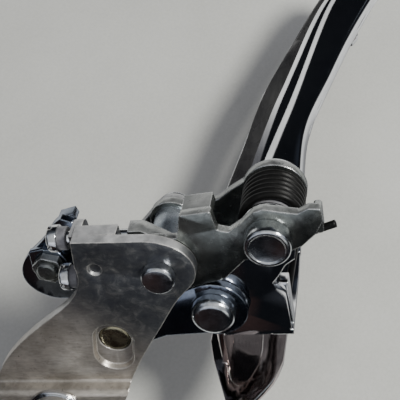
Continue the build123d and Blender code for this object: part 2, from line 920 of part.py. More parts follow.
# Lower cage pin C: domed head.
with BuildPart() as lower_cage_pin:
    with BuildSketch(face_at(-0.6)):
        with Locations((cy, cz)):
            Circle(3.9)
    extrude(amount=-2.45)
    fillet(lower_cage_pin.edges().group_by(Axis.X)[-1], 1.2)
    with BuildSketch(face_at(-3.0)):
        with Locations((cy, cz)):
            Circle(pin_r)
    extrude(amount=pin_end + 3.0)
    chamfer(lower_cage_pin.edges().group_by(Axis.X)[0], 0.5)
lower_cage_pin.part.label = "lower_cage_pin"
export_step(lower_cage_pin.part, "parts/lower_cage_pin.step")

with BuildPart() as upper_cage_washer:
    with BuildSketch(face_at(rear_back)):
        with Locations((by, bz)):
            Circle(3.6)
            Circle(pin_r, mode=Mode.SUBTRACT)
    extrude(amount=-0.8)
upper_cage_washer.part.label = "upper_cage_washer"
export_step(upper_cage_washer.part, "parts/upper_cage_washer.step")

with BuildPart() as lower_cage_washer:
    with BuildSketch(face_at(rear_back)):
        with Locations((cy, cz)):
            Circle(3.6)
            Circle(pin_r, mode=Mode.SUBTRACT)
    extrude(amount=-0.8)
lower_cage_washer.part.label = "lower_cage_washer"
export_step(lower_cage_washer.part, "parts/lower_cage_washer.step")

# Spacer tube on pin C keeps the cage ears apart.
with BuildPart() as lower_pin_tube:
    with BuildSketch(face_at(cage1_back)):
        with Locations((cy, cz)):
            Circle(3.3)
            Circle(pin_r, mode=Mode.SUBTRACT)
    extrude(amount=ear2_front + 0.05 - cage1_back)
lower_pin_tube.part.label = "lower_pin_tube"
export_step(lower_pin_tube.part, "parts/lower_pin_tube.step")

with BuildPart() as spring_sleeve:
    with BuildSketch(face_at(cage1_back)):
        with Locations((by, bz)):
            Circle(sleeve_r)
            Circle(pin_r, mode=Mode.SUBTRACT)
    extrude(amount=ear2_front + 0.05 - cage1_back)
spring_sleeve.part.label = "spring_sleeve"
export_step(spring_sleeve.part, "parts/spring_sleeve.step")

# Return spring: close coil round pin B, one leg on the lug, one on the cage.
p1y, p1z = -1.2, -10.6
p2y, p2z = -22.95, 0.2
a1 = degrees(atan2(p1z, p1y)) - degrees(acos(coil_r / hypot(p1y, p1z)))
a2 = degrees(atan2(p2z, p2y)) + degrees(acos(coil_r / hypot(p2y, p2z)))
# the coil runs clockwise seen from the front, from a1 at the front to a2 at the rear
sweep_deg = (a1 - a2) % 360 + 4 * 360
pitch = (coil_front - coil_rear) / (sweep_deg / 360)
t1 = Vector(coil_front, by + coil_r * cos(radians(a1)), bz + coil_r * sin(radians(a1)))
t2 = Vector(coil_rear, by + coil_r * cos(radians(a2)), bz + coil_r * sin(radians(a2)))
e1 = Vector(coil_front, by + p1y, bz + p1z)
e2 = Vector(coil_rear, by + p2y, bz + p2z)
coil_frame = Plane(
    origin=(coil_front, by, bz),
    x_dir=(0, cos(radians(a1)), sin(radians(a1))),
    z_dir=(-1, 0, 0),
)
coil_curve = coil_frame * Helix(pitch, coil_front - coil_rear, coil_r)
front_dir = (coil_curve % 0) * -1
rear_dir = coil_curve % 1
with BuildPart() as return_spring:
    with BuildLine():
        add(coil_curve)
    with BuildSketch(Plane(origin=coil_curve @ 0, z_dir=coil_curve % 0)):
        Circle(wire_r)
    sweep(is_frenet=True)
    with BuildSketch(Plane(origin=coil_curve @ 0, z_dir=front_dir)):
        Circle(wire_r)
    extrude(amount=(e1 - t1).length)
    with BuildSketch(Plane(origin=coil_curve @ 1, z_dir=rear_dir)):
        Circle(wire_r)
    extrude(amount=(e2 - t2).length)
return_spring.part.label = "return_spring"
export_step(return_spring.part, "parts/return_spring.step")
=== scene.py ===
import math

import bmesh
import bpy
from mathutils import Matrix, Vector


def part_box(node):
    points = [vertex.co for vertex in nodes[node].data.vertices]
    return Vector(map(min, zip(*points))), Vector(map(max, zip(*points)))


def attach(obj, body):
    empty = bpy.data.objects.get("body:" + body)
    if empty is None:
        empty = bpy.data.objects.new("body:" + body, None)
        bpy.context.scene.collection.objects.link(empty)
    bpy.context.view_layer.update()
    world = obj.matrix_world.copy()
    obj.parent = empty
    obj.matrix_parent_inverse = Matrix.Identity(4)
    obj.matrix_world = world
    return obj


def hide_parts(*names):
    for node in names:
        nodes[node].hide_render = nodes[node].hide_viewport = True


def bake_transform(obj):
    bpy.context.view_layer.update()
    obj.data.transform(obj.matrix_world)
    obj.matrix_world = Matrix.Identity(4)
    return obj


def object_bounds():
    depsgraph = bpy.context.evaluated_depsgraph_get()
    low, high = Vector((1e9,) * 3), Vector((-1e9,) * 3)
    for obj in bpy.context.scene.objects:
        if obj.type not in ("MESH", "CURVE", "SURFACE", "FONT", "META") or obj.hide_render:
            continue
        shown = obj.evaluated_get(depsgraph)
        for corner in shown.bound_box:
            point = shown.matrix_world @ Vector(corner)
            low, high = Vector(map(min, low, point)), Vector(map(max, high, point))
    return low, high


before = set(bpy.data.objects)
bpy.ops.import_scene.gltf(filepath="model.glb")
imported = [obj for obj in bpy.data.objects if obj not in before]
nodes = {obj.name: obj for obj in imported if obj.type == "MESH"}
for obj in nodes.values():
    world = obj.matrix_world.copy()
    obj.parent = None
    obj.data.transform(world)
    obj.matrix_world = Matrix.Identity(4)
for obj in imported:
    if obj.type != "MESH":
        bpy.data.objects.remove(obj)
cad_low, cad_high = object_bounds()
scene = bpy.context.scene
MM = 0.001


# ---------------------------------------------------------------- camera
# Picked by judgement from a few trial settings, not solved. CAM_RIGHT and CAM_UP are the
# picture's right and up in the row frame, and CAM_BACK is the way from the object to the lens.
CAM_POS = Vector((120.29, 141.63, -68.25)) * MM
CAM_RIGHT = Vector((-0.13854, -0.16442, -0.97661))
CAM_UP = Vector((-0.62321, 0.78087, -0.04306))
CAM_BACK = Vector((0.76969, 0.60267, -0.21065))

cam_data = bpy.data.cameras.new("camera")
cam_data.sensor_width = 36.0
cam_data.lens = 90.0
cam_data.clip_start = 0.005
cam_data.clip_end = 20.0
camera = bpy.data.objects.new("camera", cam_data)
scene.collection.objects.link(camera)
turn = Matrix((CAM_RIGHT, CAM_UP, CAM_BACK)).transposed()
camera.matrix_world = Matrix.Translation(CAM_POS) @ turn.to_4x4()
scene.camera = camera


# ---------------------------------------------------------------- node helpers
class Tree:
    """Short names for building a node tree."""

    def __init__(self, tree):
        self.t = tree

    def add(self, kind, **props):
        n = self.t.nodes.new(kind)
        for k, v in props.items():
            setattr(n, k, v)
        return n

    def link(self, a, b):
        self.t.links.new(a, b)

    def math(self, op, a, b=0.0, clamp=False):
        n = self.add("ShaderNodeMath", operation=op, use_clamp=clamp)
        for i, v in enumerate((a, b)):
            if isinstance(v, (int, float)):
                n.inputs[i].default_value = v
            else:
                self.link(v, n.inputs[i])
        return n.outputs[0]

    def dot(self, a, b):
        n = self.add("ShaderNodeVectorMath", operation="DOT_PRODUCT")
        self.link(a, n.inputs[0])
        n.inputs[1].default_value = b
        return n.outputs["Value"]

    def scaled(self, value, factor, offset):
        """value * factor + offset."""
        n = self.add("ShaderNodeMath", operation="MULTIPLY_ADD")
        self.link(value, n.inputs[0])
        n.inputs[1].default_value = factor
        n.inputs[2].default_value = offset
        return n.outputs[0]

    def step(self, value, start, stop):
        """0 to 1 as value goes from start to stop, eased at both ends."""
        n = self.add("ShaderNodeMapRange", interpolation_type="SMOOTHSTEP")
        self.link(value, n.inputs[0])
        n.inputs[1].default_value = start
        n.inputs[2].default_value = stop
        return n.outputs[0]

    def ramp(self, fac, stops):
        n = self.add("ShaderNodeValToRGB")
        els = n.color_ramp.elements
        els.remove(els[1])
        for i, (at, c) in enumerate(stops):
            e = els[0] if i == 0 else els.new(at)
            e.position = at
            e.color = (c[0], c[1], c[2], 1.0) if isinstance(c, tuple) else (c, c, c, 1.0)
        self.link(fac, n.inputs[0])
        return n.outputs[0]

    def mix(self, fac, a, b, blend="MIX"):
        n = self.add("ShaderNodeMix", data_type="RGBA", blend_type=blend)
        for i, v in ((0, fac), (6, a), (7, b)):
            if isinstance(v, tuple):
                n.inputs[i].default_value = (v[0], v[1], v[2], 1.0)
            elif isinstance(v, (int, float)):
                n.inputs[i].default_value = v
            else:
                self.link(v, n.inputs[i])
        return n.outputs[2]

    def noise(self, vec, scale, detail=3.0, rough=0.5, distort=0.0):
        n = self.add("ShaderNodeTexNoise")
        n.inputs["Scale"].default_value = scale
        n.inputs["Detail"].default_value = detail
        n.inputs["Roughness"].default_value = rough
        n.inputs["Distortion"].default_value = distort
        self.link(vec, n.inputs["Vector"])
        return n.outputs["Fac"]

    def stretch(self, vec, scale):
        n = self.add("ShaderNodeMapping")
        n.inputs["Scale"].default_value = scale
        self.link(vec, n.inputs["Vector"])
        return n.outputs[0]


def new_material(name):
    m = bpy.data.materials.new(name)
    m.use_nodes = True
    m.node_tree.nodes.clear()
    return m, Tree(m.node_tree)


# ---------------------------------------------------------------- room
# Polished metal shows the room. Rays are sorted by how far they turn to the lens: 0 goes away from it, 1 to it.
# Reflections see a table with a bright rim behind the object, a dark surround, and a bright ceiling by the lens.
# Diffuse light and the plain background have tones of their own.
BACKDROP = (0.47, 0.46, 0.44)
ROOM_UNEVEN = 0.10
world = bpy.data.worlds.new("room")
scene.world = world
world.use_nodes = True
world.node_tree.nodes.clear()
w = Tree(world.node_tree)
path = w.add("ShaderNodeLightPath")
coord = w.add("ShaderNodeTexCoord")
ray = coord.outputs["Generated"]
towards_lens = w.dot(ray, tuple(CAM_BACK))
wobble = w.noise(ray, 2.2, 2.0)
uneven = w.math("MULTIPLY", w.math("SUBTRACT", wobble, 0.5), ROOM_UNEVEN)
height01 = w.scaled(w.math("ADD", towards_lens, uneven), 0.5, 0.5)
room = w.ramp(
    height01,
    [
        (0.00, (0.20, 0.205, 0.21)),
        (0.04, (0.34, 0.345, 0.35)),
        (0.11, (0.80, 0.81, 0.80)),
        (0.26, (1.10, 1.10, 1.06)),
        (0.30, (0.16, 0.16, 0.17)),
        (0.35, (0.009, 0.010, 0.012)),
        (0.62, (0.006, 0.007, 0.009)),
        (0.80, (0.10, 0.11, 0.13)),
        (0.88, (0.58, 0.60, 0.62)),
        (1.00, (0.80, 0.81, 0.80)),
    ],
)


def aim(direction):
    """Unit vector in the row frame for (right, up, back) of the picture."""
    r, u, b = direction
    return (CAM_RIGHT * r + CAM_UP * u + CAM_BACK * b).normalized()


def window(direction, inner, outer, colour):
    """A soft patch of light seen only in reflections; inner and outer are its half angles in degrees."""
    facing = w.dot(ray, tuple(aim(direction)))
    glow = w.step(facing, math.cos(math.radians(outer)), math.cos(math.radians(inner)))
    return w.mix(glow, (0.0, 0.0, 0.0), colour)


# direction, inner and outer half angle, colour
WINDOWS = (
    ((0.26, -0.79, 0.55), 6, 14, (1.5, 1.5, 1.45)),
    ((0.70, 0.30, 0.35), 8, 22, (0.60, 0.66, 0.74)),
    ((-0.42, -0.90, 0.05), 4, 20, (0.030, 0.015, 0.012)),
    ((-0.75, 0.20, 0.50), 6, 16, (0.55, 0.60, 0.70)),
    ((0.30, 0.90, -0.12), 4, 14, (0.030, 0.036, 0.050)),
)
for patch in WINDOWS:
    room = w.mix(1.0, room, window(*patch), "ADD")
soft = w.ramp(height01, [(0.0, (0.22, 0.22, 0.25)), (1.0, (0.52, 0.52, 0.58))])
seen = w.mix(path.outputs["Is Glossy Ray"], soft, room)
pale = w.mix(path.outputs["Is Camera Ray"], seen, BACKDROP)
bg = w.add("ShaderNodeBackground")
w.link(pale, bg.inputs[0])
bg.inputs[1].default_value = 1.0
out = w.add("ShaderNodeOutputWorld")
w.link(bg.outputs[0], out.inputs[0])


def soft_light(name, direction, reach, size, power, colour):
    """Round area light, reach metres from the object's middle and turned to it."""
    middle = (cad_low + cad_high) / 2
    d = aim(direction)
    data = bpy.data.lights.new(name, "AREA")
    data.shape = "DISK"
    data.size = size
    data.energy = power
    data.color = colour
    ob = bpy.data.objects.new(name, data)
    scene.collection.objects.link(ob)
    ob.rotation_mode = "QUATERNION"
    ob.location = middle + d * reach
    ob.rotation_quaternion = (-d).to_track_quat("-Z", "Y")


soft_light("key", (0.54, 0.28, 0.79), reach=0.55, size=0.15, power=4.0, colour=(1.0, 0.985, 0.95))
soft_light("fill", (-0.3, -0.7, 0.65), reach=0.60, size=0.40, power=0.35, colour=(0.86, 0.90, 1.0))


# ---------------------------------------------------------------- table
TABLE_TILT = aim((0.10, 0.60, 1.0))  # the sheet's normal
TABLE_GAP = 1.5 * MM  # between the sheet and the lowest point of the CAD
TABLE_SPAN, TABLE_STEPS = 0.9, 24
PAPER_DARK, PAPER_LIGHT = (0.420, 0.426, 0.390), (0.482, 0.490, 0.452)


def table_top():
    """Pale sheet behind the object. It has a front side only, so views from behind still see the object."""
    lowest = min(v.co.dot(TABLE_TILT) for ob in nodes.values() for v in ob.data.vertices)
    side = TABLE_TILT.cross(CAM_UP).normalized()
    ahead = side.cross(TABLE_TILT).normalized()
    middle = (cad_low + cad_high) / 2
    middle += TABLE_TILT * (lowest - TABLE_GAP - middle.dot(TABLE_TILT))
    places = [(k / TABLE_STEPS - 0.5) * TABLE_SPAN for k in range(TABLE_STEPS + 1)]
    bm = bmesh.new()
    grid = [[bm.verts.new(middle - side * a + ahead * b) for b in places] for a in places]
    for row, following in zip(grid, grid[1:]):
        for j in range(TABLE_STEPS):
            bm.faces.new((row[j], following[j], following[j + 1], row[j + 1]))
    bm.normal_update()
    bm.faces.ensure_lookup_table()
    if bm.faces[0].normal.dot(TABLE_TILT) < 0:
        bmesh.ops.reverse_faces(bm, faces=bm.faces)
    me = bpy.data.meshes.new("table_top")
    bm.to_mesh(me)
    bm.free()
    ob = bpy.data.objects.new("table_top", me)
    scene.collection.objects.link(ob)
    m, t = new_material("table_paper")
    c = t.add("ShaderNodeTexCoord").outputs["Object"]
    cloud = t.noise(c, 22.0, 4.0, 0.6)
    grain = t.noise(c, 1500.0, 3.0, 0.6)
    base = t.ramp(cloud, [(0.30, PAPER_DARK), (0.70, PAPER_LIGHT)])
    base = t.mix(0.05, base, t.ramp(grain, [(0.35, 0.25), (0.65, 0.85)]))
    body = t.add("ShaderNodeBsdfPrincipled")
    t.link(base, body.inputs["Base Color"])
    body.inputs["Roughness"].default_value = 0.85
    body.inputs["Specular IOR Level"].default_value = 0.15
    clear = t.add("ShaderNodeBsdfTransparent")
    geo = t.add("ShaderNodeNewGeometry")
    both = t.add("ShaderNodeMixShader")
    t.link(geo.outputs["Backfacing"], both.inputs[0])
    t.link(body.outputs[0], both.inputs[1])
    t.link(clear.outputs[0], both.inputs[2])
    end = t.add("ShaderNodeOutputMaterial")
    t.link(both.outputs[0], end.inputs[0])
    me.materials.append(m)
    ob.visible_glossy = False


table_top()


# ---------------------------------------------------------------- metals
BEVEL_RADIUS = 0.32 * MM
RIM_GAIN = 9.0
GRAIN_DEPTH = 0.08 * MM
PAINTED_LIGHT_LOW, PAINTED_LIGHT_HIGH = 14 * MM, 22 * MM  # the y over which painted light comes in on faces turned inboard (+y)
PAINTED_LIGHT_DIM, PAINTED_LIGHT_BRIGHT = (0.40, 0.405, 0.40), (0.64, 0.645, 0.63)
PAINTED_LIGHT_NOISE, WEAR_NOISE = 260.0, 700.0
INBOARD = (0.0, 1.0, 0.0)


def metal(
    name,
    dark,
    light,
    rough,
    blotch,
    grain,
    bump,
    edge,
    edge_colour,
    lines=(1.0, 1.0, 1.0),
    metallic=1.0,
    spots=0.0,
    spot_colour=(0.05, 0.05, 0.05),
    painted_light=0.0,
    gloss=0.5,
    extra=None,
):
    """Worked metal: cloudy tone, fine grain, worn bright edges, optional dark spots and painted light on faces
    turned inboard.

    blotch and grain are noise scales, lines multiplies the grain's along x, y and z, rough is (least, most),
    edge is how strongly the rims show, and the painted-light strength how strongly faces that look inboard (+y)
    are painted pale as if lit.
    extra(t, c, tone) can change the tone before the painted light and the edges.
    """
    m, t = new_material(name)
    c = t.add("ShaderNodeTexCoord").outputs["Object"]
    geo = t.add("ShaderNodeNewGeometry")

    cloud = t.noise(c, blotch, 4.0, 0.62, 0.4)
    fine = t.noise(t.stretch(c, lines), grain, 4.0, 0.65)
    tone = t.ramp(cloud, [(0.32, dark), (0.68, light)])
    tone = t.mix(0.22, tone, t.ramp(fine, [(0.30, 0.12), (0.70, 0.95)]), "OVERLAY")
    if spots:
        mask = t.ramp(t.noise(c, blotch * 4.3, 5.0, 0.7), [(0.56, 0.0), (0.66, spots)])
        tone = t.mix(mask, tone, spot_colour)
    if extra:
        tone = extra(t, c, tone)

    # painted light: faces turned inboard (+y), high on the part, go pale and less metallic, as if lit
    facing = t.step(t.dot(geo.outputs["Normal"], INBOARD), 0.45, 0.92)
    lit = t.math("MULTIPLY", facing, along(t, c, INBOARD, PAINTED_LIGHT_LOW, PAINTED_LIGHT_HIGH))
    uneven = t.ramp(t.noise(c, PAINTED_LIGHT_NOISE, 5.0, 0.65), [(0.30, 0.45 * painted_light), (0.62, painted_light)])
    lit = t.math("MULTIPLY", lit, uneven)
    pale = t.ramp(cloud, [(0.35, PAINTED_LIGHT_DIM), (0.65, PAINTED_LIGHT_BRIGHT)])
    tone = t.mix(lit, tone, pale)

    # a rim is where the rounded normal parts from the face's own
    bevel = t.add("ShaderNodeBevel", samples=4)
    bevel.inputs["Radius"].default_value = BEVEL_RADIUS
    d = t.add("ShaderNodeVectorMath", operation="DOT_PRODUCT")
    t.link(bevel.outputs[0], d.inputs[0])
    t.link(geo.outputs["Normal"], d.inputs[1])
    rim = t.math("SUBTRACT", 1.0, d.outputs["Value"], clamp=True)
    rim = t.math("MULTIPLY", rim, RIM_GAIN, clamp=True)
    patchy = t.ramp(t.noise(c, WEAR_NOISE, 3.0), [(0.35, 0.35), (0.60, 1.0)])
    worn = t.math("MULTIPLY", t.math("MULTIPLY", rim, patchy), edge)
    tone = t.mix(worn, tone, edge_colour)

    p = t.add("ShaderNodeBsdfPrincipled")
    t.link(tone, p.inputs["Base Color"])
    p.inputs["Specular IOR Level"].default_value = gloss
    t.link(t.scaled(lit, -0.75 * metallic, metallic), p.inputs["Metallic"])
    cloudy = t.noise(c, blotch * 2.1, 4.0, 0.6)
    t.link(t.ramp(cloudy, [(0.30, rough[0]), (0.70, rough[1])]), p.inputs["Roughness"])
    relief = t.add("ShaderNodeBump")
    relief.inputs["Strength"].default_value = bump
    relief.inputs["Distance"].default_value = GRAIN_DEPTH
    t.link(fine, relief.inputs["Height"])
    t.link(bevel.outputs[0], relief.inputs["Normal"])
    t.link(relief.outputs[0], p.inputs["Normal"])
    end = t.add("ShaderNodeOutputMaterial")
    t.link(p.outputs[0], end.inputs[0])
    return m


def along(t, c, direction, start, stop):
    """0 to 1 from start to stop, in metres along a direction of the row frame."""
    return t.step(t.dot(c, direction), start, stop)


def pivot_level(direction):
    """Distance of pin A's centre along a direction of the row frame."""
    low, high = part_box("inner_body_pin")
    return ((low + high) / 2).dot(Vector(direction))


def plate_tone(t, c, tone):
    """Warm brushed steel low on the plate; towards the pivot a painted dark bluish-grey reflection, with
    mottling.
    """
    across = (0.0, 0.80, -0.60)
    level = pivot_level(across)
    fade = along(t, c, across, level - 26.5 * MM, level - 10.5 * MM)
    # painted reflection: dark bluish-grey with mottling, laid on towards the pivot
    dark_reflection_paint = t.ramp(
        t.noise(c, 420.0, 6.0, 0.72, 0.6),
        [
            (0.34, (0.018, 0.026, 0.044)),
            (0.50, (0.046, 0.055, 0.068)),
            (0.62, (0.125, 0.132, 0.135)),
            (0.74, (0.33, 0.33, 0.32)),
        ],
    )
    return t.mix(t.math("MULTIPLY", fade, 0.88), tone, dark_reflection_paint)


def link_tone(t, c, tone):
    """Painted shade: darker tone with mottling towards the outboard side of the link."""
    across = (0.0, 0.96, 0.28)
    level = pivot_level(across)
    fade = along(t, c, across, level + 3.5 * MM, level - 6.0 * MM)
    # painted shade: dark mottling laid on towards the outboard side
    painted_shade_tone = t.ramp(
        t.noise(c, 240.0, 5.0, 0.68, 0.5),
        [(0.36, (0.014, 0.017, 0.018)), (0.54, (0.045, 0.052, 0.050)), (0.70, (0.16, 0.17, 0.16))],
    )
    return t.mix(t.math("MULTIPLY", fade, 0.85), tone, painted_shade_tone)


steel_plate = metal(
    "steel_plate",
    dark=(0.26, 0.238, 0.205),
    light=(0.44, 0.405, 0.355),
    rough=(0.27, 0.4),
    blotch=160.0,
    grain=520.0,
    lines=(1.0, 5.0, 1.2),
    bump=0.2,
    edge=0.85,
    edge_colour=(0.86, 0.84, 0.78),
    metallic=0.7,
    spots=0.3,
    spot_colour=(0.1, 0.085, 0.075),
    # strength of the painted light on faces turned inboard
    painted_light=0.85,
    # plate_tone paints a dark reflection towards the pivot
    extra=plate_tone,
)
zinc = metal(
    "zinc_satin",
    dark=(0.085, 0.094, 0.09),
    light=(0.34, 0.36, 0.34),
    rough=(0.16, 0.32),
    blotch=150.0,
    grain=620.0,
    bump=0.22,
    edge=0.85,
    edge_colour=(0.88, 0.89, 0.9),
    metallic=0.9,
    spots=0.5,
    spot_colour=(0.08, 0.085, 0.085),
    # strength of the painted light on faces turned inboard
    painted_light=0.48,
    # link_tone paints shade towards the link's outboard side
    extra=link_tone,
)
chrome = metal(
    "chrome_cage",
    dark=(0.62, 0.63, 0.65),
    light=(0.82, 0.83, 0.85),
    rough=(0.045, 0.1),
    blotch=90.0,
    grain=420.0,
    lines=(0.3, 4.0, 4.0),
    bump=0.03,
    edge=0.5,
    edge_colour=(0.95, 0.95, 0.96),
)
chrome_tail = metal(
    "chrome_tail",
    dark=(0.62, 0.63, 0.65),
    light=(0.82, 0.83, 0.85),
    rough=(0.05, 0.09),
    blotch=60.0,
    grain=300.0,
    lines=(0.2, 4.0, 4.0),
    bump=0.02,
    edge=0.35,
    edge_colour=(0.95, 0.95, 0.96),
)
# painted reflection: a darker, reddish copy of the chrome for the outer cage plate
chrome_nose_painted_reflection = metal(
    "chrome_nose_painted_reflection",
    dark=(0.27, 0.225, 0.22),
    light=(0.44, 0.39, 0.38),
    rough=(0.05, 0.12),
    blotch=80.0,
    grain=400.0,
    lines=(0.3, 4.0, 4.0),
    bump=0.03,
    edge=0.55,
    edge_colour=(0.92, 0.93, 0.94),
)
# painted reflection: dark grey for the slope of the chrome tail, standing in for a reflection of the shaded
# table
slope_painted_reflection = metal(
    "tail_slope_painted_reflection",
    dark=(0.038, 0.038, 0.04),
    light=(0.085, 0.085, 0.083),
    rough=(0.2, 0.34),
    blotch=70.0,
    grain=300.0,
    lines=(0.15, 5.0, 5.0),
    bump=0.1,
    edge=0.3,
    edge_colour=(0.7, 0.7, 0.68),
    metallic=0.55,
)
# painted reflection: a dark bluish copy of the chrome for the outer link and its washer
chrome_arm_painted_reflection = metal(
    "chrome_arm_painted_reflection",
    dark=(0.15, 0.175, 0.22),
    light=(0.27, 0.3, 0.36),
    rough=(0.1, 0.18),
    blotch=110.0,
    grain=500.0,
    bump=0.05,
    edge=0.5,
    edge_colour=(0.6, 0.64, 0.7),
)
pin_metal = metal(
    "pin_steel",
    dark=(0.42, 0.44, 0.46),
    light=(0.7, 0.72, 0.74),
    rough=(0.13, 0.24),
    blotch=260.0,
    grain=900.0,
    bump=0.08,
    edge=0.45,
    edge_colour=(0.92, 0.93, 0.93),
    spots=0.25,
)
socket_metal = metal(
    "socket_pin",
    dark=(0.24, 0.225, 0.15),
    light=(0.44, 0.4, 0.27),
    rough=(0.2, 0.34),
    blotch=240.0,
    grain=800.0,
    bump=0.12,
    edge=0.4,
    edge_colour=(0.8, 0.78, 0.66),
    spots=0.35,
)
bright = metal(
    "bright_screw",
    dark=(0.5, 0.51, 0.52),
    light=(0.8, 0.81, 0.82),
    rough=(0.08, 0.18),
    blotch=200.0,
    grain=900.0,
    bump=0.06,
    edge=0.7,
    edge_colour=(0.95, 0.95, 0.94),
)
bush_steel = metal(
    "bush_steel",
    dark=(0.26, 0.3, 0.34),
    light=(0.44, 0.48, 0.52),
    rough=(0.22, 0.34),
    blotch=300.0,
    grain=900.0,
    bump=0.12,
    edge=0.5,
    edge_colour=(0.78, 0.82, 0.85),
    metallic=0.8,
)
black_wire = metal(
    "spring_black",
    dark=(0.003, 0.003, 0.003),
    light=(0.008, 0.008, 0.0075),
    rough=(0.28, 0.42),
    blotch=300.0,
    grain=1500.0,
    bump=0.12,
    edge=0.03,
    edge_colour=(0.2, 0.2, 0.2),
    metallic=0.0,
    gloss=0.12,
)
nylon = metal(
    "collar_nylon",
    dark=(0.12, 0.12, 0.125),
    light=(0.2, 0.2, 0.21),
    rough=(0.35, 0.5),
    blotch=300.0,
    grain=1500.0,
    bump=0.1,
    edge=0.25,
    edge_colour=(0.4, 0.4, 0.4),
    metallic=0.0,
)


# ---------------------------------------------------------------- carried-over CAD nodes
NODE_LOOK = {
    steel_plate: ("body_bracket", "body_rear_plate"),
    zinc: ("inner_link", "body_post", "anchor_nut", "anchor_bolt", "tail_spacer"),
    chrome: ("cage_inner_plate", "fixing_washer"),
    # the outer plate wears the painted dark reddish reflection
    chrome_nose_painted_reflection: ("cage_outer_plate",),
    # the outer link wears the painted dark reflection
    chrome_arm_painted_reflection: ("outer_link", "anchor_washer"),
    pin_metal: (
        "inner_body_pin",
        "upper_cage_pin",
        "lower_cage_pin",
        "inner_body_washer",
        "outer_body_washer",
        "upper_cage_washer",
        "lower_cage_washer",
        "lower_pin_tube",
        "front_rivet",
        "rear_rivet",
    ),
    socket_metal: ("outer_body_pin",),
    bright: ("fixing_bolt", "low_limit_screw", "high_limit_screw", "tail_screw", "tail_nut"),
    bush_steel: ("inner_link_bush", "outer_link_bush"),
    nylon: ("low_screw_collar", "high_screw_collar", "spring_sleeve"),
    black_wire: ("return_spring",),
}
# rounding of each node's edges in millimetres, and that of the nodes that aren't named
EDGE_ELSE = 0.10
EDGE = {
    "body_bracket": 0.42,
    "inner_link": 0.50,
    "outer_link": 0.40,
    "cage_inner_plate": 0.42,
    "cage_outer_plate": 0.36,
    "body_rear_plate": 0.30,
    "upper_cage_pin": 0.60,
    "lower_cage_pin": 0.60,
    "inner_body_pin": 0.22,
    "outer_body_pin": 0.14,
    "anchor_washer": 0.18,
    "fixing_bolt": 0.25,
}


def soften(ob, width):
    """Rounded edges as modifiers, so the CAD mesh itself stays as it came from model.glb."""
    ob.data.polygons.foreach_set("use_smooth", [True] * len(ob.data.polygons))
    weld = ob.modifiers.new("weld", "WELD")
    weld.merge_threshold = 0.002 * MM
    bevel = ob.modifiers.new("bevel", "BEVEL")
    bevel.width = width * MM
    bevel.segments = 3
    bevel.limit_method = "ANGLE"
    bevel.angle_limit = math.radians(40)
    bevel.harden_normals = True
    bevel.use_clamp_overlap = True


for look, names in NODE_LOOK.items():
    for name in names:
        ob = nodes[name]
        ob.data.materials.clear()
        ob.data.materials.append(look)
        soften(ob, EDGE.get(name, EDGE_ELSE))


# ---------------------------------------------------------------- new pieces
def mesh_piece(name, verts, faces, look):
    """New smooth mesh object, in the row frame, with its material."""
    me = bpy.data.meshes.new(name)
    me.from_pydata([tuple(v) for v in verts], [], faces)
    me.validate()
    bm = bmesh.new()
    bm.from_mesh(me)
    bmesh.ops.recalc_face_normals(bm, faces=bm.faces)
    bm.to_mesh(me)
    bm.free()
    me.polygons.foreach_set("use_smooth", [True] * len(me.polygons))
    me.materials.append(look)
    ob = bpy.data.objects.new(name, me)
    scene.collection.objects.link(ob)
    return ob


def tube(points, radius, sides):
    """Vertices and faces of a closed round tube along a run of points, with slightly domed ends."""
    rings, verts, faces = [], [], []
    n = len(points)
    tangent = (points[1] - points[0]).normalized()
    normal = tangent.orthogonal().normalized()
    for i, p in enumerate(points):
        new = (points[min(i + 1, n - 1)] - points[max(i - 1, 0)]).normalized()
        normal = (normal - new * normal.dot(new)).normalized()
        side = new.cross(normal)
        ring = []
        for k in range(sides):
            a = 2 * math.pi * k / sides
            ring.append(len(verts))
            verts.append(p + normal * (radius * math.cos(a)) + side * (radius * math.sin(a)))
        rings.append(ring)
    for a, b in zip(rings, rings[1:]):
        for k in range(sides):
            faces.append((a[k], a[(k + 1) % sides], b[(k + 1) % sides], b[k]))
    for ring, tip, inner in ((rings[0], points[0], points[1]), (rings[-1], points[-1], points[-2])):
        cap = len(verts)
        verts.append(tip + (tip - inner).normalized() * radius * 0.25)
        for k in range(sides):
            faces.append((ring[k], ring[(k + 1) % sides], cap))
    return verts, faces


# ---------------------------------------------------------------- return spring
WIRE_R, WIRE_SIDES = 0.68 * MM, 16
COIL_R = 4.85 * MM
COIL_FRONT, COIL_REAR = -7.45 * MM, -14.45 * MM  # x of the coil's two ends
FULL_TURNS = 5
COIL_STEPS, LEG_STEPS = 320, 24
# ends of the two legs, seen from the coil's axis
HOOK_END = Vector((0.0, -1.2, -10.6)) * MM
REST_END = Vector((0.0, -22.95, 0.2)) * MM


